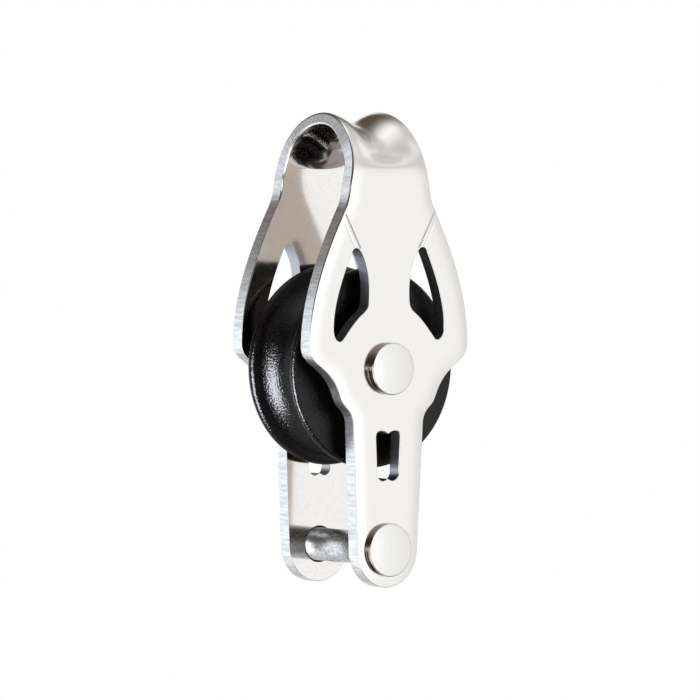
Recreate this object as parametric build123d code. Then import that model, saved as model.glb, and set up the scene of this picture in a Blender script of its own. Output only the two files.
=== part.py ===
from build123d import *
from math import asin, cos, pi, radians, sin, sqrt
import os

# Single becket block for small line, in millimetres.
# The origin is the centre of the sheave. Y runs along the axle, from the near cheek at -Y to the far
# cheek at +Y. Z runs up towards the saddle eye, and the becket is at the foot.

# Pressed strap: one strip of sheet, blanked flat and folded over at its head
sheet = 1.7
over_cheeks = 14.38
edge_break = 0.25
neck_z = 19.2
neck_half = 5.93
bend_z = 21.61
bend_half = 5.55
saddle_half = 3.98
saddle_dip = 1.3
narrowing = 1.5
fold_steps = 12

# Outline of a cheek, right half, as the corners between its sides
brow_foot = (11.3, 1.35)
flank_foot = (6.58, -3.85)
leg_top = (5.02, -5.3)
shoulder_round = 1.3
bump_round = 0.9
leg_root_round = 1.1
becket_z = -20.57
foot_radius = 4.28

# Openings: one each side of the spine, and a window in each leg
hub_ring = 7.25
slot_head = (4.66, 14.15)
slot_heel = (3.03, 6.7)
slot_tip = (7.74, 2.1)
slot_head_round = 0.5
slot_heel_round = 0.6
slot_tip_round = 0.6
window_top = -7.08
window_foot = -12.72
window_top_half = 1.7
window_foot_half = 1.52
window_cusp = 0.3
window_round = 0.35

# Rivets
rivet_head_radius = 3.0
rivet_edge_round = 0.25
axle_radius = 2.0
axle_head = 1.0
becket_radius = 1.88
becket_head = 0.8
becket_far_hole = 2.1
tail_radius = 2.85
tail_rim = 0.4
tail_crown = 0.6
running_gap = 0.05

# Sheave and its two rows of balls
sheave_radius = 11.42
sheave_half = 4.38
rim_round = 0.42
groove_mouth = 3.5
groove_root = 8.5
groove_lip = 11.2
bore_face = 4.1
ball_radius = 1.25
balls_in_row = 12
pitch_radius = 4.9
row_offset = 1.95
race_gap = 0.03
rib_half = 0.6
rib_radius = 5.6
flange_inner = 3.3
flange_outer = 3.95
flange_radius = 5.85
boss_radius = 3.3

outer = over_cheeks / 2
inner = outer - sheet
race_radius = pitch_radius - ball_radius - race_gap
bore_radius = pitch_radius + ball_radius + race_gap


def corner(shape, point):
    """The corner of a flat outline that lies nearest to a point."""
    return min(shape.vertices(), key=lambda v: (v.X - point[0]) ** 2 + (v.Y - point[1]) ** 2)


def mirrored(point):
    """The same point on the left half."""
    return (-point[0], point[1])


def cheek_outline():
    """A cheek seen along the axle: neck, brow, shoulder, flank and tapered leg with a round foot."""
    foot_side = (foot_radius * cos(radians(3)), becket_z + foot_radius * sin(radians(3)))
    foot = (0, becket_z - foot_radius)
    with BuildSketch() as sketch:
        with BuildLine():
            Line((0, neck_z), (neck_half, neck_z))
            Spline((neck_half, neck_z), (6.6, 17.75), (8.12, 14.8), (10.15, 9.6), (11.2, 4.7),
                   brow_foot, tangents=[(0.28, -1), (0, -1)])
            ThreePointArc(brow_foot, (8.55, -0.55), flank_foot)
            Line(flank_foot, leg_top)
            Line(leg_top, foot_side)
            RadiusArc(foot_side, foot, foot_radius)
            Line(foot, (0, neck_z))
        make_face()
        mirror(about=Plane.YZ)
        for point, size in ((brow_foot, shoulder_round), (flank_foot, bump_round),
                            (leg_top, leg_root_round)):
            fillet([corner(sketch, point), corner(sketch, mirrored(point))], size)
    return sketch.sketch


def shoulder_opening():
    """The three-sided opening between the spine, the ring round the axle and the outer arm."""
    on_ring = (hub_ring * cos(radians(45)), hub_ring * sin(radians(45)))
    with BuildSketch() as sketch:
        with BuildLine():
            ThreePointArc(slot_head, (2.94, 9.9), slot_heel)
            ThreePointArc(slot_heel, on_ring, slot_tip)
            ThreePointArc(slot_tip, (7.3, 8.35), slot_head)
        make_face()
        for point, size in ((slot_head, slot_head_round), (slot_heel, slot_heel_round),
                            (slot_tip, slot_tip_round)):
            fillet(corner(sketch, point), size)
    return sketch.sketch


def leg_window():
    """A tall window whose top and foot are each two lobes that meet in a low cusp."""
    with BuildSketch() as sketch:
        with BuildLine():
            Line((0, window_top - window_cusp), (0, window_foot + window_cusp))
            ThreePointArc((0, window_foot + window_cusp), (window_foot_half * 0.45, window_foot),
                          (window_foot_half, window_foot + 0.25))
            Line((window_foot_half, window_foot + 0.25), (window_top_half, window_top - 0.1))
            ThreePointArc((window_top_half, window_top - 0.1), (window_top_half * 0.5, window_top),
                          (0, window_top - window_cusp))
        make_face()
        mirror(about=Plane.YZ)
        for point in ((window_foot_half, window_foot + 0.25), (window_top_half, window_top - 0.1)):
            fillet([corner(sketch, point), corner(sketch, mirrored(point))], window_round)
    return sketch.sketch


def cheek(becket_hole):
    """One flat cheek, from the inner face outwards along +Z of the drawing, outer edges broken."""
    opening = shoulder_opening()
    flat = cheek_outline() - opening - mirror(opening, about=Plane.YZ) - leg_window()
    plate = extrude(flat, sheet)
    sheared = [edge for edge in plate.edges()
               if abs(edge.center().Z - sheet) < 0.001 and edge.center().Y < neck_z - 0.001]
    plate = chamfer(sheared, edge_break)
    plate -= Cylinder(axle_radius + running_gap, 3 * sheet)
    plate -= Pos(0, becket_z) * Cylinder(becket_hole, 3 * sheet)
    return plate


def band_section(plane, half, dip):
    """A section through the strap at the saddle: a strip of sheet, hollowed across its width.

    The outer face is an arc that falls by the dip between its two corners. The inner face is the same
    arc moved in by the sheet's thickness, so the edges flare. The outer corners are broken.
    """
    curve = (half ** 2 + dip ** 2) / (2 * dip) if dip else 0
    reach = curve * asin(half / curve) if dip else half

    def at(across, depth):
        """A point of the section, by its way across the outer face and its depth under it."""
        if not dip:
            return Vector(across, outer - depth)
        turn = across / curve
        return Vector((curve + depth) * sin(turn), outer - dip + curve - (curve + depth) * cos(turn))

    def span(start, middle, stop):
        """A face of the strip: straight where the strip is flat, else an arc."""
        return ThreePointArc(start, middle, stop) if dip else Line(start, stop)

    corners = [at(-reach + edge_break, 0), at(reach - edge_break, 0), at(reach, edge_break),
               at(reach, sheet), at(-reach, sheet), at(-reach, edge_break)]
    edges = [span(corners[0], at(0, 0), corners[1]), Line(corners[1], corners[2]),
             Line(corners[2], corners[3]), span(corners[3], at(0, sheet), corners[4]),
             Line(corners[4], corners[5]), Line(corners[5], corners[0])]
    return plane * Wire(edges)


def saddle():
    """The head of the strap, folded over a half circle and hollowed for a lashing to seat in.

    The strip narrows towards the top of the fold as its hollow deepens, so its edges rise as two horns.
    """
    def neck(z, side):
        """A section of a straight neck, on the level plane at a height, drawn outwards from the middle."""
        half = neck_half + (bend_half - neck_half) * (z - neck_z) / (bend_z - neck_z)
        return band_section(Plane(origin=(0, 0, z), x_dir=(1, 0, 0), z_dir=(0, 0, side)), half, 0)

    def fold(turned):
        """A section of the fold, at an angle up from the neck it starts from."""
        narrowed = 1 - abs(turned / (pi / 2) - 1) ** narrowing
        half = bend_half - (bend_half - saddle_half) * narrowed
        plane = Plane(origin=(0, 0, bend_z), x_dir=(1, 0, 0), z_dir=(0, -sin(turned), -cos(turned)))
        return band_section(plane, half, saddle_dip * sin(turned))

    heights = [neck_z, (neck_z + bend_z) / 2, bend_z]
    return Solid.make_loft([neck(z, -1) for z in heights]
                           + [fold(pi * step / fold_steps) for step in range(1, fold_steps)]
                           + [neck(z, 1) for z in reversed(heights)])


def pressed_strap():
    """Both cheeks and the saddle between them, as the one strip of sheet that they are."""
    near = Plane(origin=(0, -inner, 0), x_dir=(1, 0, 0), z_dir=(0, -1, 0))
    far = Plane(origin=(0, inner, 0), x_dir=(-1, 0, 0), z_dir=(0, 1, 0))
    return saddle() + near * cheek(becket_radius + running_gap) + far * cheek(becket_far_hole)


def turned_piece(profile):
    """A solid turned about the axle's line from corners (radius, y), joined in order.

    A corner of four numbers starts an arc, and its last two are a point that the arc passes through.
    """
    edges = []
    for index, start in enumerate(profile):
        stop = profile[(index + 1) % len(profile)][:2]
        if len(start) == 4:
            edges.append(ThreePointArc(start[:2], start[2:], stop))
        else:
            edges.append(Line(start, stop))
    return revolve(make_face(edges), axis=Axis.Y)


def rivet(shank, head):
    """A rivet turned from bar: flat head at the near side, tail spread to a low dome at the far side."""
    top = -outer - head
    slant = rivet_edge_round * (1 - sin(pi / 4))
    edge_of_top = rivet_head_radius - rivet_edge_round
    crown = (tail_radius ** 2 + tail_crown ** 2) / (2 * tail_crown)
    half_way = tail_radius / 2
    crown_drop = crown - sqrt(crown ** 2 - half_way ** 2)
    return turned_piece([
        (0, top), (edge_of_top, top, rivet_head_radius - slant, top + slant),
        (rivet_head_radius, top + rivet_edge_round), (rivet_head_radius, -outer), (shank, -outer),
        (shank, outer), (tail_radius, outer),
        (tail_radius, outer + tail_rim, half_way, outer + tail_rim + tail_crown - crown_drop),
        (0, outer + tail_rim + tail_crown)])


def sheave():
    """The wheel: rounded groove and rims, sides that fall a little to the bore, and a rib in the bore."""
    slant = rim_round * (1 - sin(pi / 4))
    far = [(rib_radius, rib_half), (bore_radius, rib_half), (bore_radius, bore_face),
           (sheave_radius - rim_round, sheave_half, sheave_radius - slant, sheave_half - slant),
           (sheave_radius, sheave_half - rim_round), (groove_lip, groove_mouth, groove_root, 0)]
    near = [(groove_lip, -groove_mouth), (sheave_radius, -sheave_half + rim_round,
                                         sheave_radius - slant, -sheave_half + slant),
            (sheave_radius - rim_round, -sheave_half), (bore_radius, -bore_face),
            (bore_radius, -rib_half), (rib_radius, -rib_half)]
    return turned_piece(far + near)


def inner_race(side):
    """Half of the hub that the cheeks clamp: a raceway, a flange that keeps the balls in, and a boss."""
    bore = axle_radius + running_gap
    corners = [(bore, 0), (race_radius, 0), (race_radius, flange_inner), (flange_radius, flange_inner),
               (flange_radius, flange_outer), (boss_radius, flange_outer), (boss_radius, inner),
               (bore, inner)]
    return turned_piece([(radius, side * y) for radius, y in corners])


def ball(side, number):
    """One ball of a row, at its place on the pitch circle; the rows stand half a space apart."""
    turned = 2 * pi * (number + (0.5 if side > 0 else 0)) / balls_in_row
    return Pos(pitch_radius * cos(turned), side * row_offset, pitch_radius * sin(turned)) * Sphere(
        ball_radius)


pieces = {
    "strap": pressed_strap(),
    "sheave": sheave(),
    "axle_rivet": rivet(axle_radius, axle_head),
    "becket_rivet": Pos(0, 0, becket_z) * rivet(becket_radius, becket_head),
    "inner_race_near": inner_race(-1),
    "inner_race_far": inner_race(1),
}
for row, side in (("a", -1), ("b", 1)):
    for number in range(balls_in_row):
        pieces[f"ball_{row}_{number + 1:02d}"] = ball(side, number)

os.makedirs("parts", exist_ok=True)
for name, shape in pieces.items():
    export_step(shape, f"parts/{name}.step")
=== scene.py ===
import bpy
import numpy as np
from mathutils import Matrix, Vector
from mathutils.geometry import delaunay_2d_cdt


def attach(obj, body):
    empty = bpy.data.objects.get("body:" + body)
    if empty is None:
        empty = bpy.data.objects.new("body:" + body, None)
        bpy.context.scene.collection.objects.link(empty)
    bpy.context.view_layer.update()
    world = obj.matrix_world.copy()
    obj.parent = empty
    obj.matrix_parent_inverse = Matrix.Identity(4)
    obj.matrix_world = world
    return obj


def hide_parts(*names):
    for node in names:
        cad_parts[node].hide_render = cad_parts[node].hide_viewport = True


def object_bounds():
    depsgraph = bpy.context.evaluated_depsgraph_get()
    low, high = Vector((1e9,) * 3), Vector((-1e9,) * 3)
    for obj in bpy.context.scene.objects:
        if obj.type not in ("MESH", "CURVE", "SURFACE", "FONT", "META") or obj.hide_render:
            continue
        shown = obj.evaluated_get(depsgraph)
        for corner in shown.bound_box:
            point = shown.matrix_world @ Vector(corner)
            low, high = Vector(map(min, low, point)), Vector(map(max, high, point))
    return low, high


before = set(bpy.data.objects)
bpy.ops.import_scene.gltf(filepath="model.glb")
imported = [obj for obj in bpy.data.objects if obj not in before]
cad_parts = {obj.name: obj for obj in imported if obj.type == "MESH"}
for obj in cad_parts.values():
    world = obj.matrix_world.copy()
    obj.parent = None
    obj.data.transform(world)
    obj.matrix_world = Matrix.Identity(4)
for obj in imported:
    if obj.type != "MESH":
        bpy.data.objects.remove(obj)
cad_low, cad_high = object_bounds()

# The camera stands far off with a long lens, a little above the sheave and well to the left of the
# near cheek, so that the gap between the cheeks shows the sheave's groove.
azimuth, elevation, roll = np.radians([-37.452, 2.460, 0.437])
distance = 1.09025
aim_over_axle = 0.00183
focal_pixels = 9576.8
picture_width = 700

ahead = np.array([-np.sin(azimuth) * np.cos(elevation), np.cos(azimuth) * np.cos(elevation),
                  -np.sin(elevation)])
level = np.array([np.cos(azimuth), np.sin(azimuth), 0.0])
upward = np.cross(level, ahead)
right = np.cos(roll) * level + np.sin(roll) * upward
up = np.cos(roll) * upward - np.sin(roll) * level
camera = bpy.data.objects.new("camera", bpy.data.cameras.new("camera"))
camera.data.sensor_width = 36.0
camera.data.lens = focal_pixels / picture_width * camera.data.sensor_width
camera.data.clip_start = 0.05
camera.data.clip_end = 60.0
camera.matrix_world = Matrix.Translation(Vector(up * aim_over_axle - ahead * distance)) @ Matrix(
    [[right[i], up[i], -ahead[i]] for i in range(3)]).to_4x4()
bpy.context.scene.collection.objects.link(camera)
bpy.context.scene.camera = camera
bpy.context.scene.view_settings.view_transform = "Standard"

# The studio: a pale room that only mirrors in the block, and a white backdrop that the camera sees.
# Polished steel shows its shape by the room's bright and dark fields: bright overhead and in front of the
# flat faces, dark round the camera, behind the saddle and under its hollow.


def node(tree, kind, **values):
    """A new shader node, with its settings and its inputs' values by name."""
    made = tree.nodes.new(kind)
    for name, value in values.items():
        if hasattr(made, name):
            setattr(made, name, value)
        else:
            made.inputs[name.replace("_", " ")].default_value = value
    return made


def mixed(tree, share, low, high):
    """A colour between two, each a socket or a plain colour, by a socket's share."""
    mix = tree.nodes.new("ShaderNodeMix")
    mix.data_type = "RGBA"
    tree.links.new(share, mix.inputs[0])
    for value, place in ((low, mix.inputs[6]), (high, mix.inputs[7])):
        if isinstance(value, bpy.types.NodeSocket):
            tree.links.new(value, place)
        else:
            place.default_value = (*value, 1.0)
    return mix.outputs[2]


def field(tree, bearing, height, inner, outer):
    """How far a direction of the room lies inside a round field: 1 within the inner angle, then fading
    to 0 at the outer angle. The field's middle has a bearing from +Y to +X and a height, in degrees."""
    bearing, height = np.radians(bearing), np.radians(height)
    coordinates = node(tree, "ShaderNodeTexCoord")
    dot = node(tree, "ShaderNodeVectorMath", operation="DOT_PRODUCT")
    dot.inputs[1].default_value = (np.sin(bearing) * np.cos(height), np.cos(bearing) * np.cos(height),
                                   np.sin(height))
    fade = node(tree, "ShaderNodeMapRange", interpolation_type="SMOOTHSTEP")
    fade.inputs["From Min"].default_value = np.cos(np.radians(outer))
    fade.inputs["From Max"].default_value = np.cos(np.radians(inner))
    tree.links.new(coordinates.outputs["Generated"], dot.inputs[0])
    tree.links.new(dot.outputs["Value"], fade.inputs["Value"])
    return fade.outputs["Result"]


world = bpy.data.worlds.new("studio")
bpy.context.scene.world = world
world.use_nodes = True
room = world.node_tree
room.nodes.clear()
wall_colour = (0.95, 0.95, 0.96)
shade = None
for bearing, height, inner, outer, colour in (
        # high up, mirrored by the saddle: the broad light, three softer ones, a grey and a dark one
        (9, 30, 46, 90, (1.44, 1.48, 1.50)),
        (105, 39, 21, 46, (0.82, 0.81, 0.83)),
        (103, 26, 0, 19, (1.23, 1.22, 1.23)),
        (136, 42, 0, 17, (1.07, 1.09, 1.10)),
        (-168, 37, 1, 41, (0.73, 0.69, 0.69)),
        (14, 36, 9, 53, (0.12, 0.09, 0.07)),
        # round the horizon and under it: the neck's two tones, the dark left, the hollow's lilac and black
        (47, 13, 15, 34, (0.28, 0.26, 0.24)),
        (34, 11, 1, 17, (1.14, 1.13, 1.13)),
        (-97, 10, 30, 60, (0.08, 0.07, 0.07)),
        (-27, 38, 14, 34, (0.13, 0.11, 0.10)),
        (97, -46, 16, 35, (0.40, 0.36, 0.38)),
        (95, -80, 24, 32, (0.04, 0.035, 0.03)),
        # what the cheeks' flat faces mirror, then what the sheared edges mirror
        (158, -6, 18, 33, (1.22, 1.25, 1.28)),
        (170, -4, 12, 26, (1.7, 1.74, 1.78)),
        (37, -10, 10, 19, (0.84, 0.76, 0.70)),
        (-48, -10, 18, 36, (1.20, 1.31, 1.42)),
        (12, -14, 16, 28, (1.05, 1.08, 1.1)),
        (12, -42, 18, 27, (0.68, 0.68, 0.70)),
        # the dark round the camera and the rest of the hollow
        (-142, 0, 12, 52, (0.05, 0.04, 0.035)),
        (-170, -45, 14, 36, (0.05, 0.04, 0.035)),
        (146, -44, 5, 15, (0.05, 0.04, 0.035)),
        (128, -60, 5, 15, (0.36, 0.33, 0.34)),
        (45, -58, 8, 22, (0.06, 0.055, 0.05)),
        # small bright ones: the streak on the heads' sides, and the line along the arch's inner edge
        (-142, 0, 3, 6.5, (2.9, 2.75, 2.6)),
        (-117, -32, 14, 24, (2.6, 2.65, 2.7)),
        (-117, -4, 12, 19, (2.8, 2.85, 2.9))):
    shade = mixed(room, field(room, bearing, height, inner, outer), shade or wall_colour, colour)
lit = node(room, "ShaderNodeBackground")
seen = node(room, "ShaderNodeBackground", Color=(1.0, 1.0, 1.0, 1.0))
path = node(room, "ShaderNodeLightPath")
choose = node(room, "ShaderNodeMixShader")
result = node(room, "ShaderNodeOutputWorld")
room.links.new(shade, lit.inputs["Color"])
room.links.new(path.outputs["Is Camera Ray"], choose.inputs["Fac"])
room.links.new(lit.outputs[0], choose.inputs[1])
room.links.new(seen.outputs[0], choose.inputs[2])
room.links.new(choose.outputs[0], result.inputs["Surface"])

# The floor: a small pale board a hand's breadth under the block. It glows a little to the eye, so that it
# stays close to the backdrop's white.
floor_drop = 0.09
floor_half = 0.06
floor_glow = 0.35
floor_mesh = bpy.data.meshes.new("floor")
floor_mesh.from_pydata([(x * floor_half, y * floor_half, cad_low.z - floor_drop)
                        for x, y in ((-1, -1), (1, -1), (1, 1), (-1, 1))], [], [(0, 1, 2, 3)])
floor = bpy.data.objects.new("floor", floor_mesh)
bpy.context.scene.collection.objects.link(floor)
pale = bpy.data.materials.new("pale_floor")
pale.use_nodes = True
tree = pale.node_tree
tree.nodes.clear()
matt = node(tree, "ShaderNodeBsdfDiffuse", Color=(0.8, 0.8, 0.8, 1.0))
glow = node(tree, "ShaderNodeEmission", Strength=floor_glow)
path = node(tree, "ShaderNodeLightPath")
seen_or_mirrored = node(tree, "ShaderNodeMath", operation="MAXIMUM")
or_through_glass = node(tree, "ShaderNodeMath", operation="MAXIMUM")
off = node(tree, "ShaderNodeEmission", Strength=0.0)
pick = node(tree, "ShaderNodeMixShader")
total = node(tree, "ShaderNodeAddShader")
result = node(tree, "ShaderNodeOutputMaterial")
tree.links.new(path.outputs["Is Camera Ray"], seen_or_mirrored.inputs[0])
tree.links.new(path.outputs["Is Glossy Ray"], seen_or_mirrored.inputs[1])
tree.links.new(seen_or_mirrored.outputs[0], or_through_glass.inputs[0])
tree.links.new(path.outputs["Is Transmission Ray"], or_through_glass.inputs[1])
tree.links.new(or_through_glass.outputs[0], pick.inputs["Fac"])
tree.links.new(off.outputs[0], pick.inputs[1])
tree.links.new(glow.outputs[0], pick.inputs[2])
tree.links.new(matt.outputs[0], total.inputs[0])
tree.links.new(pick.outputs[0], total.inputs[1])
tree.links.new(total.outputs[0], result.inputs["Surface"])
floor_mesh.materials.append(pale)

# The lamp: a soft box low at the left, linked to the sheave alone and without diffuse light. Its mirror
# image in the groove and along the rims shows the plastic's grain.
lamp_bearing, lamp_height = np.radians([-117, -24])
lamp_away = 0.30
lamp_width, lamp_length = 0.17, 0.26
lamp_radiance = 39.0
lamp = bpy.data.objects.new("side_lamp", bpy.data.lights.new("side_lamp", "AREA"))
lamp.data.shape = "RECTANGLE"
lamp.data.color = (0.94, 0.96, 1.06)
lamp.data.size, lamp.data.size_y = lamp_width, lamp_length
lamp.data.energy = lamp_radiance * np.pi * lamp_width * lamp_length
toward = Vector((np.sin(lamp_bearing) * np.cos(lamp_height), np.cos(lamp_bearing) * np.cos(lamp_height),
                 np.sin(lamp_height)))
facing_axle = toward.to_track_quat("Z", "Y").to_matrix().to_4x4()
lamp.matrix_world = Matrix.Translation(toward * lamp_away) @ facing_axle
lamp.visible_diffuse = False
sheave_only = bpy.data.collections.new("sheave_only")
lamp.light_linking.receiver_collection = sheave_only
bpy.context.scene.collection.objects.link(lamp)

# The strap: one strip of 1.7 mm stainless sheet. It is blanked flat with its openings, pressed to a
# saddle, folded over a round former and tumbled bright. Its sheared edges keep the marks of the die. Sizes
# are in mm, and s is the way along the strip from the apex.
mm = 0.001
sheet = 1.7
face_y = 7.25
bend_z = 21.61
fold = face_y * np.pi / 2
apex_half = 4.08
flare, spread = 0.061, 0.0062
saddle_dip = 1.56
neck_dip = 0.39
dip_start, dip_full = 0.9, 3.4
neck_dip_start, neck_dip_full = 22.6, 24.8
valley_round = 0.475
lip_rise = 0.06
apex_thinning = 0.22
edge_lean = 0.28
lean_start, lean_full = 23.0, 27.5
arch_start, arch_full = 18.0, 20.0
roll_heights = [-8, 1, 6, 14, 18.5, 22]
roll_sizes = [0.1, 0.07, 0.12, 0.16, 0.2, 0.24]
inner_roll = 0.09
inner_roll_arch = 0.2
inner_roll_hole = 0.03
arch_bevel = 0.7
pillow_slope = 0.12
pillow_start, pillow_width = 0.1, 2.2
becket_z = -20.57
foot_radius = 4.28
steel_grid = 0.36
grid_half_width, grid_past_fold = 12.0, 47.0
rim_clearance = 0.55 * steel_grid
edge_step = 0.17
outer_steps, wall_steps, inner_steps = 5, 3, 4
at_once = 2000


def bezier(points, count=24):
    """Cubic Bezier curves in a row, three new control points each: (1-t)^3 a + 3(1-t)^2 t b + ..."""
    points = np.array(points, float)
    t = np.linspace(0, 1, count, endpoint=False)[:, None]
    weights = ((1 - t) ** 3, 3 * (1 - t) ** 2 * t, 3 * (1 - t) * t ** 2, t ** 3)
    return np.concatenate([sum(w * points[start + i] for i, w in enumerate(weights))
                           for start in range(0, len(points) - 1, 3)])


def smooth(value, low, high):
    """The smooth step from 0 at low to 1 at high."""
    t = np.clip((value - low) / (high - low), 0, 1)
    return t * t * (3 - 2 * t)


def half_width(s):
    """Half the strip's width over the fold: apex_half + flare (sqrt(s^2 + 1) - 1) + spread s^2."""
    return apex_half + flare * (np.hypot(s, 1) - 1) + spread * s ** 2


def fall(x, s):
    """How far the outer face lies under the fold's half round: the saddle's dip, which starts a little
    above the straight runs and grows with the cosine of the turn, and the neck's slight one, both less
    towards the lips by a rounded V of the share of the width, and less the lips' own rise."""
    around = np.cos(np.clip(s, -fold, fold) / face_y) * smooth(fold - np.abs(s), dip_start, dip_full)
    t = np.clip(x / half_width(s), -1, 1)
    rise = (np.hypot(t, valley_round) - valley_round) / (np.hypot(1, valley_round) - valley_round)
    neck = smooth(bend_z + fold - np.abs(s), neck_dip_start, neck_dip_full)
    low = neck_dip * neck + (saddle_dip - neck_dip) * around
    return low * (1 - rise) ** 2 - lip_rise * around * t ** 4


def thickness(s):
    """The sheet's thickness: pressing the saddle has stretched it thinner at the apex."""
    return sheet * (1 - apex_thinning * np.cos(np.clip(s, -fold, fold) / face_y) ** 2)


def surface(x, s):
    """The outer face: the half round and its two straight runs, lowered along their normal by fall."""
    turned = np.clip(s / face_y, -np.pi / 2, np.pi / 2)
    out = np.stack([np.zeros_like(x), np.sin(turned), np.cos(turned)], -1)
    run = np.maximum(np.abs(s) - fold, 0)
    base = np.stack([x, face_y * np.sin(turned), bend_z + face_y * np.cos(turned) - run], -1)
    return base - out * fall(x, s)[:, None]


def unit(vectors):
    """Vectors scaled to length one."""
    return vectors / np.maximum(np.linalg.norm(vectors, axis=-1, keepdims=True), 1e-12)


def tangents(x, s):
    """The face's unit tangents across and along the strip, and its outward normal."""
    step = 0.01
    across = unit(surface(x + step, s) - surface(x - step, s))
    along = unit(surface(x, s + step) - surface(x, s - step))
    return across, along, unit(np.cross(across, along))


cheek_side = bezier([
    (5.52, bend_z), (5.77, 20.50), (5.74, 19.50), (6.24, 18.40),
    (9.02, 13.30), (11.30, 8.00), (11.30, 2.70), (11.28, 1.75), (10.90, 1.28), (10.22, 0.75),
    (8.95, -0.15), (7.75, -0.85), (6.85, -3.00), (6.67, -3.45), (6.50, -3.85), (6.20, -4.15),
    (5.60, -4.70), (5.02, -5.20), (4.97, -6.20), (4.77, -10.5), (4.53, -15.0), (4.28, becket_z)])
slot = bezier([
    (4.15, 13.30), (3.00, 12.00), (2.72, 9.40), (2.93, 7.50), (3.00, 6.90), (3.25, 6.62), (3.75, 6.25),
    (4.60, 5.70), (5.75, 4.35), (6.50, 3.42), (6.90, 2.88), (7.75, 3.20), (7.85, 4.40),
    (7.98, 7.20), (6.60, 10.60), (5.25, 13.40), (5.02, 13.80), (4.42, 13.80), (4.15, 13.30)])
window_half = bezier([
    (0, -7.40), (0.15, -7.40), (0.40, -7.08), (0.95, -7.08), (1.40, -7.07), (1.70, -7.20),
    (1.70, -7.75), (1.64, -9.10), (1.55, -10.4), (1.52, -11.7), (1.52, -12.4), (1.10, -12.72),
    (0.65, -12.72), (0.35, -12.72), (0.12, -12.48), (0, -12.48)])


def circle(radius, z, count=72):
    """A round hole on the strap's middle line."""
    angle = np.linspace(0, 2 * np.pi, count, endpoint=False)
    return np.stack([radius * np.cos(angle), z + radius * np.sin(angle)], -1)


def on_blank(points, side):
    """Points (x, z) of a cheek as (x, s) of the flat blank, s being the way along it from the apex."""
    return np.stack([points[:, 0], side * (fold + bend_z - points[:, 1])], -1)


def evenly(points, spacing):
    """A closed outline resampled at an even spacing."""
    closed = np.concatenate([points, points[:1]])
    length = np.concatenate([[0], np.cumsum(np.linalg.norm(np.diff(closed, axis=0), axis=1))])
    count = int(round(length[-1] / spacing))
    way = np.linspace(0, length[-1], count, endpoint=False)
    return np.stack([np.interp(way, length, closed[:, k]) for k in (0, 1)], -1)


def facing_left(points, wanted):
    """The outline with the metal on its left: anticlockwise round the blank, clockwise round a hole."""
    x, s = points.T
    area = np.sum(x * np.roll(s, -1) - np.roll(x, -1) * s)
    return points if (area > 0) == wanted else points[::-1]


over = np.linspace(-fold, fold, 160)[1:-1]
foot_angle = np.linspace(0, -np.pi, 40)[1:-1]
foot = np.stack([foot_radius * np.cos(foot_angle), becket_z + foot_radius * np.sin(foot_angle)], -1)
mirror_x = np.array([-1, 1])
blank = np.concatenate([
    on_blank(cheek_side, -1)[::-1], np.stack([half_width(over), over], -1), on_blank(cheek_side, 1),
    on_blank(foot, 1), (on_blank(cheek_side, 1) * mirror_x)[::-1],
    np.stack([-half_width(over), over], -1)[::-1], on_blank(cheek_side, -1) * mirror_x,
    on_blank(foot * mirror_x, -1)])
window = np.concatenate([window_half, (window_half * mirror_x)[::-1]])
openings = [(blank, None)]
for side, becket_hole in ((-1, 1.93), (1, 2.1)):
    openings += [(on_blank(slot, side), 0.07), (on_blank(slot * mirror_x, side), 0.07),
                 (on_blank(window, side), 0.11), (on_blank(circle(2.05, 0), side), 0.1),
                 (on_blank(circle(becket_hole, becket_z), side), 0.12)]


def inside(points, outlines):
    """Whether points lie in the metal: they cross the outlines an odd number of times to one side."""
    odd = np.zeros(len(points), bool)
    for outline in outlines:
        ax, ay = outline.T
        bx, by = np.roll(outline, -1, 0).T
        px, py = points[:, :1], points[:, 1:]
        between = (ay > py) != (by > py)
        cut = ax + (py - ay) * (bx - ax) / np.where(by == ay, 1e-9, by - ay)
        odd ^= (np.sum(between & (px < cut), 1) % 2).astype(bool)
    return odd


# Every outline with the widths of its two rolls, how far its wall leans outwards as it goes in, and where
# it is the arch's edge. The blank's own rolls change with the height.
loops = []
for number, (outline, roll) in enumerate(openings):
    outline = facing_left(evenly(outline, edge_step), number == 0)
    ahead_2d = unit(np.roll(outline, -1, 0) - np.roll(outline, 1, 0))
    inward = np.stack([-ahead_2d[:, 1], ahead_2d[:, 0]], -1)
    height = bend_z + fold - np.abs(outline[:, 1])
    if number == 0:
        roll = np.interp(height, roll_heights, roll_sizes)
        in_arch = smooth(height, arch_start, arch_full)
        inner = inner_roll + (inner_roll_arch - inner_roll) * in_arch
        lean = edge_lean * smooth(height, lean_start, lean_full)
    else:
        roll = np.full(len(height), roll)
        in_arch = lean = np.zeros(len(height))
        inner = np.full(len(height), inner_roll_hole)
    loops.append((outline, inward, roll, inner, lean, in_arch))
rims = [outline + inward * roll[:, None] for outline, inward, roll, inner, lean, in_arch in loops]

# The flat blank between the rolled edges, as triangles: a grid of points that keeps clear of the rims.
columns = np.arange(-grid_half_width, grid_half_width, steel_grid)
lines = np.arange(-fold - grid_past_fold, fold + grid_past_fold, steel_grid * np.sqrt(3) / 2)
grid_x, grid_s = np.meshgrid(columns, lines)
grid_x = grid_x + steel_grid / 2 * (np.arange(len(lines)) % 2)[:, None]
grid = np.stack([grid_x.ravel(), grid_s.ravel()], -1)
grid = grid[inside(grid, rims)]
all_rims = np.concatenate(rims)
clear = np.ones(len(grid), bool)
for start in range(0, len(grid), at_once):
    gap = np.linalg.norm(grid[start:start + at_once, None] - all_rims[None], axis=-1).min(1)
    clear[start:start + at_once] = gap > rim_clearance
grid = grid[clear]

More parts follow.
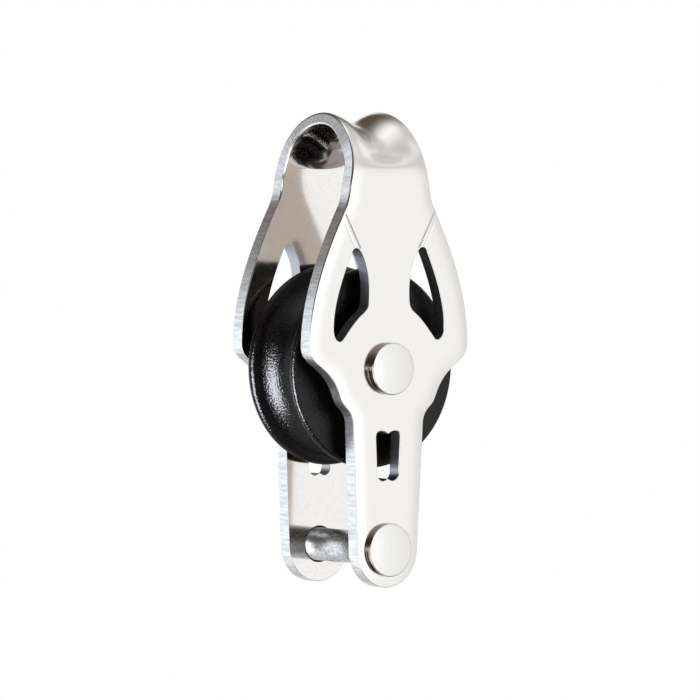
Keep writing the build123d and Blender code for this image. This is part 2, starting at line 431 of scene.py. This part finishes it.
flat_points = np.concatenate([all_rims, grid])
rim_edges = []
first = 0
for rim in rims:
    index = np.arange(len(rim)) + first
    rim_edges.append(np.stack([index, np.roll(index, -1)], -1))
    first += len(rim)
found = delaunay_2d_cdt([Vector(p) for p in flat_points.tolist()], np.concatenate(rim_edges).tolist(),
                        [], 0, 1e-7)
flat = np.array(found[0])
triangles = np.array(found[2])
triangles = triangles[inside(flat[triangles].mean(1), rims)]

# The two faces: the outer one laid on the fold, and the inner one a sheet's thickness behind it. Near the
# outline the outer face's normals are drawn towards the edge, as tumbling rounds it.
count = len(flat)
behind = flat.copy()
for (outline, inward, roll, inner, lean, in_arch), rim_edge in zip(loops, rim_edges):
    behind[rim_edge[:, 0]] = outline + inward * (inner - lean * thickness(outline[:, 1]))[:, None]
across, along, out = tangents(*flat.T)
bank, bank_inward = loops[0][:2]
pillow = np.zeros((count, 2))
for start in range(0, count, at_once):
    apart = np.linalg.norm(flat[start:start + at_once, None] - bank[None], axis=-1)
    drawn = pillow_slope * (1 - smooth(apart.min(1), pillow_start, pillow_width))
    pillow[start:start + at_once] = -drawn[:, None] * bank_inward[apart.argmin(1)]
out_behind = tangents(*behind.T)[2]
points = [surface(*flat.T), surface(*behind.T) - out_behind * thickness(behind[:, 1])[:, None]]
normals = [unit(out + across * pillow[:, :1] + along * pillow[:, 1:]), -out_behind]
faces = [triangles, triangles[:, ::-1] + count]
# The edges, ring by ring: the rolled outer edge, the sheared wall and the small roll at the inner face.
quads = []
quad_uv = []
quad_material = []
total_points = 2 * count
wall_end = outer_steps + wall_steps
ring_count = wall_end + inner_steps
for number, ((outline, inward, roll, inner, lean, in_arch), rim_edge) in enumerate(zip(loops, rim_edges)):
    edge_across, edge_along, edge_out = tangents(*outline.T)
    edge_way = unit(-(inward[:, :1] * edge_across + inward[:, 1:] * edge_along))
    thick = thickness(outline[:, 1])
    size = len(outline)
    rings = [rim_edge[:, 0]]
    depths = [0 * thick]
    for k in range(1, ring_count + 1):
        turn = min(k / outer_steps, 1) * np.pi / 2
        wall = np.clip((k - outer_steps) / wall_steps, 0, 1)
        back = max((k - wall_end) / inner_steps, 0) * np.pi / 2
        offset = roll * (1 - np.sin(turn)) - lean * thick * wall + inner * (1 - np.cos(back))
        depth = roll * (1 - np.cos(turn)) + wall * (thick - roll - inner) + inner * np.sin(back)
        if k < ring_count:
            place = outline + inward * offset[:, None]
            points.append(surface(*place.T) - tangents(*place.T)[2] * depth[:, None])
            facing = turn + back + (arch_bevel - back) * in_arch * (back > 0)
            tipped = lean * np.sin(facing)
            normals.append(unit(edge_out * (np.cos(facing) + tipped)[:, None]
                                + edge_way * np.sin(facing)[:, None]))
            rings.append(np.arange(size) + total_points)
            total_points += size
        depths.append(depth)
    rings.append(rim_edge[:, 0] + count)
    way = np.arange(size) * edge_step
    for k in range(ring_count):
        a, b = rings[k], rings[k + 1]
        quads.append(np.stack([a, b, np.roll(b, -1), np.roll(a, -1)], -1))
        quad_uv.append(np.stack([np.stack([way, way, way + edge_step, way + edge_step], -1),
                                 np.stack([depths[k], depths[k + 1], np.roll(depths[k + 1], -1),
                                           np.roll(depths[k], -1)], -1)], -1))
        quad_material.append(np.full(size, (outer_steps <= k < wall_end) * (1 if number == 0 else 2)))
points = np.concatenate(points) * mm
normals = np.concatenate(normals)
quads = np.concatenate(quads)
quad_uv = np.concatenate(quad_uv)
triangle_faces = np.concatenate(faces)
strap_mesh = bpy.data.meshes.new("pressed_strap")
strap_mesh.from_pydata(points.tolist(), [], triangle_faces.tolist() + quads.tolist())
edge_uv = strap_mesh.uv_layers.new(name="along_the_edge")
face_uv = np.concatenate([np.zeros((3 * len(triangle_faces), 2)), quad_uv.reshape(-1, 2)])
edge_uv.data.foreach_set("uv", face_uv.ravel().astype(np.float32))
strap_mesh.polygons.foreach_set("use_smooth", np.ones(len(strap_mesh.polygons), bool))
strap_mesh.polygons.foreach_set("material_index", np.concatenate([
    np.repeat([0, 3], len(triangles)), np.concatenate(quad_material).astype(int)]))
strap_mesh.normals_split_custom_set_from_vertices(normals.tolist())
strap = bpy.data.objects.new("pressed_strap", strap_mesh)
bpy.context.scene.collection.objects.link(strap)


def metal(name, colour, roughness):
    """A steel: a Principled surface, fully metallic, and its node tree to add the finish to."""
    material = bpy.data.materials.new(name)
    material.use_nodes = True
    surface_node = material.node_tree.nodes["Principled BSDF"]
    surface_node.inputs["Base Color"].default_value = (*colour, 1.0)
    surface_node.inputs["Metallic"].default_value = 1.0
    surface_node.inputs["Roughness"].default_value = roughness
    return material, material.node_tree, surface_node


def noise(tree, scale, detail=2.0, source="Object", stretch=(1, 1, 1)):
    """A noise pattern on the piece's own coordinates, stretched along its axes."""
    coordinates = node(tree, "ShaderNodeTexCoord")
    mapping = node(tree, "ShaderNodeMapping")
    mapping.inputs["Scale"].default_value = stretch
    pattern = node(tree, "ShaderNodeTexNoise", Scale=scale, Detail=detail)
    tree.links.new(coordinates.outputs[source], mapping.inputs["Vector"])
    tree.links.new(mapping.outputs["Vector"], pattern.inputs["Vector"])
    return pattern.outputs["Fac"]


def ranged(tree, value, low, high, to_low, to_high):
    """A value carried from one range to another."""
    step = node(tree, "ShaderNodeMapRange")
    for name, number in (("From Min", low), ("From Max", high), ("To Min", to_low), ("To Max", to_high)):
        step.inputs[name].default_value = number
    tree.links.new(value, step.inputs["Value"])
    return step.outputs["Result"]


def bumped(tree, surface_node, height, distance, under=None):
    """A bump of a real height in metres on the surface, over another one where that is given."""
    bump = node(tree, "ShaderNodeBump", Strength=1.0, Distance=distance)
    tree.links.new(height, bump.inputs["Height"])
    if under:
        tree.links.new(under, bump.inputs["Normal"])
    tree.links.new(bump.outputs["Normal"], surface_node.inputs["Normal"])
    return bump.outputs["Normal"]


def scored(tree, start, stop, half_width):
    """1 along a line of the x-z plane and its mirror image in x, falling to 0 at half its width by the
    distance to the line's nearest point: start + clamp((p - start) . run / |run|^2) run."""
    start, stop = np.array([start[0], 0, start[1]]) * mm, np.array([stop[0], 0, stop[1]]) * mm
    run = stop - start
    position = node(tree, "ShaderNodeTexCoord").outputs["Object"]
    folded = node(tree, "ShaderNodeVectorMath", operation="ABSOLUTE")
    height = node(tree, "ShaderNodeVectorMath", operation="MULTIPLY")
    height.inputs[1].default_value = (0, 0, 1)
    flat_place = node(tree, "ShaderNodeVectorMath", operation="MULTIPLY_ADD")
    flat_place.inputs[1].default_value = (1, 0, 0)
    from_start = node(tree, "ShaderNodeVectorMath", operation="SUBTRACT")
    from_start.inputs[1].default_value = start
    share = node(tree, "ShaderNodeVectorMath", operation="DOT_PRODUCT")
    share.inputs[1].default_value = run / (run @ run)
    clamped = node(tree, "ShaderNodeClamp")
    nearest = node(tree, "ShaderNodeVectorMath", operation="SCALE")
    nearest.inputs[0].default_value = run
    apart = node(tree, "ShaderNodeVectorMath", operation="DISTANCE")
    fade = node(tree, "ShaderNodeMapRange", interpolation_type="SMOOTHSTEP")
    for name, number in (("From Min", 0.0), ("From Max", half_width * mm), ("To Min", 1.0),
                         ("To Max", 0.0)):
        fade.inputs[name].default_value = number
    tree.links.new(position, folded.inputs[0])
    tree.links.new(position, height.inputs[0])
    tree.links.new(folded.outputs[0], flat_place.inputs[0])
    tree.links.new(height.outputs[0], flat_place.inputs[2])
    tree.links.new(flat_place.outputs[0], from_start.inputs[0])
    tree.links.new(from_start.outputs[0], share.inputs[0])
    tree.links.new(share.outputs["Value"], clamped.inputs["Value"])
    tree.links.new(clamped.outputs[0], nearest.inputs["Scale"])
    tree.links.new(from_start.outputs[0], apart.inputs[0])
    tree.links.new(nearest.outputs[0], apart.inputs[1])
    tree.links.new(apart.outputs["Value"], fade.inputs["Value"])
    return fade.outputs["Result"]


# Faces: bright from the tumbler, faintly wavy and grained, with a sharp and a soft crease pressed below
# the neck on each side.
polished, tree, steel = metal("tumbled_bright_steel", (0.72, 0.695, 0.665), 0.15)
waves = bumped(tree, steel, noise(tree, 260.0, 1.0), 0.00001)
sharp_line = scored(tree, (6.3, 17.5), (4.2, 13.73), 0.13)
soft_line = scored(tree, (6.35, 16.5), (4.97, 13.84), 0.17)
waves = bumped(tree, steel, sharp_line, -0.00006, under=waves)
waves = bumped(tree, steel, soft_line, -0.00002, under=waves)
bumped(tree, steel, noise(tree, 3000.0, 3.0), 0.0000008, under=waves)
tree.links.new(ranged(tree, noise(tree, 900.0, 4.0), 0.3, 0.7, 0.13, 0.2), steel.inputs["Roughness"])
# Sheared edges and pierced walls: rougher, with ticks across the sheet where the die tore it.
sheared, tree, steel = metal("sheared_steel_edge", (0.76, 0.77, 0.78), 0.37)
ticks = noise(tree, 3.2, 3.0, source="UV", stretch=(1.0, 0.12, 1.0))
waves = bumped(tree, steel, ticks, 0.00002)
bumped(tree, steel, noise(tree, 5000.0, 2.0), 0.000012, under=waves)
tree.links.new(mixed(tree, ranged(tree, ticks, 0.35, 0.6, 0, 1), (0.60, 0.585, 0.57),
                     (0.82, 0.815, 0.81)), steel.inputs["Base Color"])
# The holes' walls are coloured darker than the outer edges: painted shade inside the openings.
pierced, tree, steel = metal("pierced_steel_wall", (0.42, 0.43, 0.45), 0.36)
bumped(tree, steel, noise(tree, 3.2, 3.0, source="UV", stretch=(1.0, 0.12, 1.0)), 0.00002)
# Inner faces: the same finish, less worn and finely mottled.
inner_face, tree, steel = metal("tumbled_inner_steel", (0.72, 0.695, 0.665), 0.15)
waves = bumped(tree, steel, noise(tree, 260.0, 1.0), 0.000007)
bumped(tree, steel, noise(tree, 2500.0, 3.0), 0.0000006, under=waves)
tree.links.new(ranged(tree, noise(tree, 900.0, 4.0), 0.3, 0.7, 0.08, 0.12), steel.inputs["Roughness"])
tree.links.new(mixed(tree, ranged(tree, noise(tree, 3000.0, 4.0), 0.36, 0.55, 0, 1), (0.695, 0.67, 0.64),
                     (0.725, 0.70, 0.67)), steel.inputs["Base Color"])
for material in (polished, sheared, pierced, inner_face):
    strap_mesh.materials.append(material)
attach(strap, "frame")
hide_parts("strap")

# The sheave: moulded in black acetal, with a rounded groove, soft rims and dished sides. Its skin has
# the fine grain of a spark-eroded mould.


def turned_piece(name, profile, segments=256, closed=True):
    """A profile of (radius, y) carried round the axle: x = r cos a, z = r sin a, on a grid of angles."""
    profile = np.array(profile, float)
    angle = np.linspace(0, 2 * np.pi, segments, endpoint=False)
    radius, y = profile.T
    grid = np.stack([np.outer(np.cos(angle), radius), np.broadcast_to(y, (segments, len(y))),
                     np.outer(np.sin(angle), radius)], -1)
    rows = len(profile)
    i, j = np.meshgrid(np.arange(segments), np.arange(rows if closed else rows - 1), indexing="ij")
    i_next, j_next = (i + 1) % segments, (j + 1) % rows
    quads = np.stack([i * rows + j, i * rows + j_next, i_next * rows + j_next, i_next * rows + j], -1)
    mesh = bpy.data.meshes.new(name)
    mesh.from_pydata((grid.reshape(-1, 3) * mm).tolist(), [], quads.reshape(-1, 4).tolist())
    mesh.polygons.foreach_set("use_smooth", np.ones(len(mesh.polygons), bool))
    way = np.concatenate([[0], np.cumsum(np.linalg.norm(np.diff(profile, axis=0), axis=1))])
    vertex = quads.reshape(-1)
    along_uv = mesh.uv_layers.new(name="along_the_profile")
    along_uv.data.foreach_set("uv", np.stack([vertex // rows / segments, way[vertex % rows]],
                                             -1).ravel().astype(np.float32))
    piece = bpy.data.objects.new(name, mesh)
    bpy.context.scene.collection.objects.link(piece)
    return piece


def rounded(corners, radii, steps=6):
    """A polyline with each corner rounded to a radius: an arc tangent to both of its sides. A corner of
    radius 0, or one that is all but straight, stays a point."""
    corners = np.array(corners, float)
    made = []
    for index, radius in enumerate(radii):
        here = corners[index]
        before, after = corners[index - 1] - here, corners[(index + 1) % len(corners)] - here
        before, after = before / np.linalg.norm(before), after / np.linalg.norm(after)
        half = np.arccos(np.clip(before @ after, -1, 1)) / 2
        if radius == 0 or half > 1.55:
            made.append(here[None])
            continue
        reach = radius / np.tan(half)
        middle = here + (before + after) / np.linalg.norm(before + after) * radius / np.sin(half)
        start, stop = here + before * reach - middle, here + after * reach - middle
        t = np.linspace(0, 1, steps)[:, None]
        sweep = np.pi - 2 * half
        made.append(middle + (np.sin((1 - t) * sweep) * start + np.sin(t * sweep) * stop) / np.sin(sweep))
    return np.concatenate(made)


groove_radius = 3.62
groove_root = 8.5
groove_half = 3.15
rim_radius, rim_mouth, rim_side = 11.42, 3.5, 4.38
bore_radius, bore_side = 6.18, 4.1
rib_radius, rib_half = 5.6, 0.6
swing = np.linspace(-1, 1, 41) * np.arcsin(groove_half / groove_radius)
groove = np.stack([groove_root + groove_radius - groove_radius * np.cos(swing),
                   groove_radius * np.sin(swing)], -1)
side = rounded([(10.55, 3.2), (rim_radius, rim_mouth), (rim_radius, rim_side), (7.8, 4.2),
                (bore_radius, bore_side), (bore_radius, rib_half), (rib_radius, rib_half)],
               [0, 0.62, 0.45, 0, 0.15, 0, 0], steps=12)
profile = np.concatenate([groove, side, (side * [1, -1])[::-1]])
sheave = turned_piece("sheave_moulded", profile[::-1])
black, tree, acetal = metal("black_acetal", (0.004, 0.0028, 0.0026), 0.2)
acetal.inputs["Metallic"].default_value = 0.0
acetal.inputs["IOR"].default_value = 1.32
bumped(tree, acetal, noise(tree, 4400.0, 1.0), 0.00005)
tree.links.new(ranged(tree, noise(tree, 2500.0, 3.0), 0.3, 0.7, 0.17, 0.27), acetal.inputs["Roughness"])
sheave.data.materials.append(black)
sheave_only.objects.link(sheave)
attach(sheave, "wheel")
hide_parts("sheave")

# The two rivets: turned from 6 mm stainless bar. Each has a head that is crowned by a hair at the near
# side, with faint turning rings and a side painted dark brown as a painted dark reflection, a drawn shank
# between the cheeks, and a tail spread to a low dome at the far side.
head_crown = 0.13
flat_radius = 2.7
tail_radius, tail_rim, tail_top = 2.85, 7.4, 8.0
pole = 0.001


def rivet(name, shank, radius, head, z):
    """A rivet turned about its axle from the middle of its head to the middle of its tail: a crown of
    head_crown (r / radius)^2, a rounded rim, the shank, and a quarter ellipse for the tail."""
    top = -face_y - head
    t = np.linspace(0, 1, 14)
    dome = np.stack([tail_radius * np.cos(t * np.pi / 2),
                     tail_rim + (tail_top - tail_rim) * np.sin(t * np.pi / 2)], -1)
    face_radius = np.linspace(pole, flat_radius, 14)
    head_face = np.stack([face_radius, top + head_crown * (face_radius / radius) ** 2], -1)
    corners = rounded([head_face[-1], (radius, top + head_crown), (radius, -face_y), (shank, -face_y),
                       (shank, face_y), (tail_radius, face_y)], [0, 0.15, 0.08, 0, 0, 0])
    profile = np.concatenate([head_face[:-1], corners, dome[:-1], [[pole, tail_top]]])
    piece = turned_piece(name, profile[::-1], 160, closed=False)
    piece.data.transform(Matrix.Translation((0, 0, z * mm)))
    middle = np.zeros(3 * len(piece.data.polygons))
    piece.data.polygons.foreach_get("center", middle)
    middle = middle.reshape(-1, 3) / mm
    # the head's side: the faces that take the colour painted dark brown, a painted dark reflection
    side = (np.hypot(middle[:, 0], middle[:, 2] - z) > radius - 0.03) & (middle[:, 1] < -face_y)
    under = np.abs(middle[:, 1]) < face_y
    piece.data.polygons.foreach_set("material_index", (side + 2 * under).astype(int))
    return piece


turned_steel, tree, steel = metal("turned_steel", (0.70, 0.68, 0.66), 0.2)
rings = bumped(tree, steel, noise(tree, 2.2, 3.0, source="UV", stretch=(0.0, 1.0, 0.0)), 0.000016)
bumped(tree, steel, noise(tree, 1500.0, 3.0), 0.000002, under=rings)
# The heads' sides: painted dark brown, a painted dark reflection of the dark room round the camera.
head_side, tree, steel = metal("head_side_painted_dark_reflection", (0.31, 0.26, 0.235), 0.15)
bumped(tree, steel, noise(tree, 1500.0, 3.0), 0.000002)
shank_steel, tree, steel = metal("drawn_steel_shank", (0.72, 0.73, 0.75), 0.3)
bumped(tree, steel, noise(tree, 5000.0, 2.0), 0.000006)
tree.links.new(mixed(tree, ranged(tree, noise(tree, 3200.0, 3.0), 0.38, 0.6, 0, 1), (0.46, 0.45, 0.445),
                     (0.74, 0.75, 0.77)), steel.inputs["Base Color"])
for name, node_name, shank, radius, head, z in (
        ("axle_rivet_turned", "axle_rivet", 2.0, 2.96, 1.0, 0),
        ("becket_rivet_turned", "becket_rivet", 1.88, 3.03, 0.8, becket_z)):
    piece = rivet(name, shank, radius, head, z)
    piece.data.materials.append(turned_steel)
    piece.data.materials.append(head_side)
    piece.data.materials.append(shank_steel)
    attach(piece, "frame")
    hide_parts(node_name)

# The hub's two halves, turned in stainless, and the natural acetal balls that run on it. All of them
# keep the shape of their solids.
race_steel, tree, steel = metal("race_steel", (0.78, 0.78, 0.78), 0.25)
bumped(tree, steel, noise(tree, 1500.0, 2.0), 0.000002)
for name in ("inner_race_near", "inner_race_far"):
    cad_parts[name].data.materials.clear()
    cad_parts[name].data.materials.append(race_steel)
ball_acetal, tree, acetal = metal("natural_acetal", (0.82, 0.82, 0.79), 0.3)
acetal.inputs["Metallic"].default_value = 0.0
bumped(tree, acetal, noise(tree, 2000.0, 2.0), 0.000002)
for name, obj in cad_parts.items():
    if name.startswith("ball_"):
        obj.data.materials.clear()
        obj.data.materials.append(ball_acetal)
